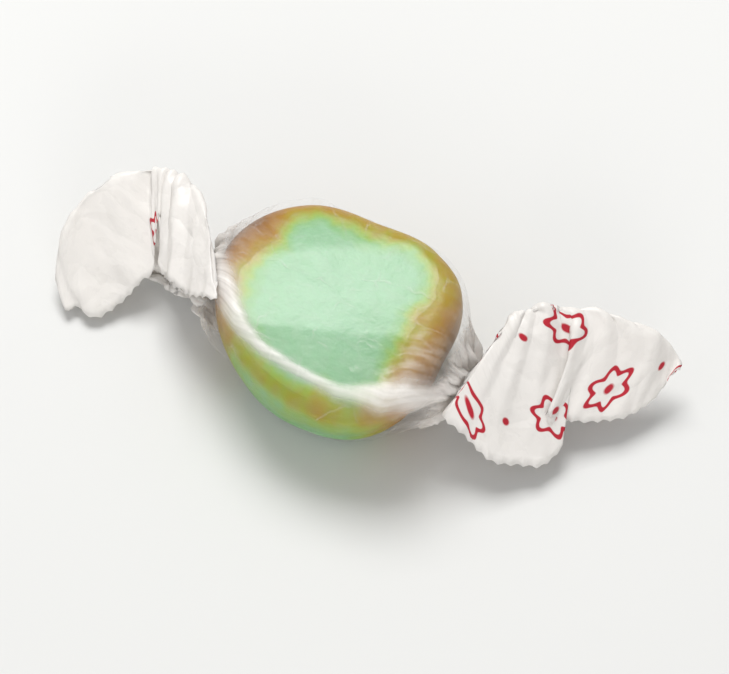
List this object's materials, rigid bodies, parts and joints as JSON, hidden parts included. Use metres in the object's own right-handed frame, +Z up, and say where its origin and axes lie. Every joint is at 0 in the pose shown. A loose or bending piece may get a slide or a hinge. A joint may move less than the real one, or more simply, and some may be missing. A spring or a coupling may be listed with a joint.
{
  "type": "wrapped taffy",
  "caption": "Chewy two-colour taffy slug, green centre in a caramel rim, twist-wrapped at both ends in one sheet of translucent waxed paper.",
  "frame": {"origin": "middle of the face the piece rests on, under the taffy", "axes": "+X runs along the two twists, towards the longer fan; +Y points to the back; +Z is up, towards the cut face that shows"},
  "size_m": [0.0632, 0.0239, 0.0129],
  "materials": {
    "green_taffy": "satin, slightly waxy",
    "caramel_taffy": "soft gloss",
    "waxed_paper": "translucent, satin"
  },
  "bodies": {
    "root": {"green_centre": "green_taffy", "caramel_rim": "caramel_taffy", "wrapper": "waxed_paper"}
  },
  "joints": []
}
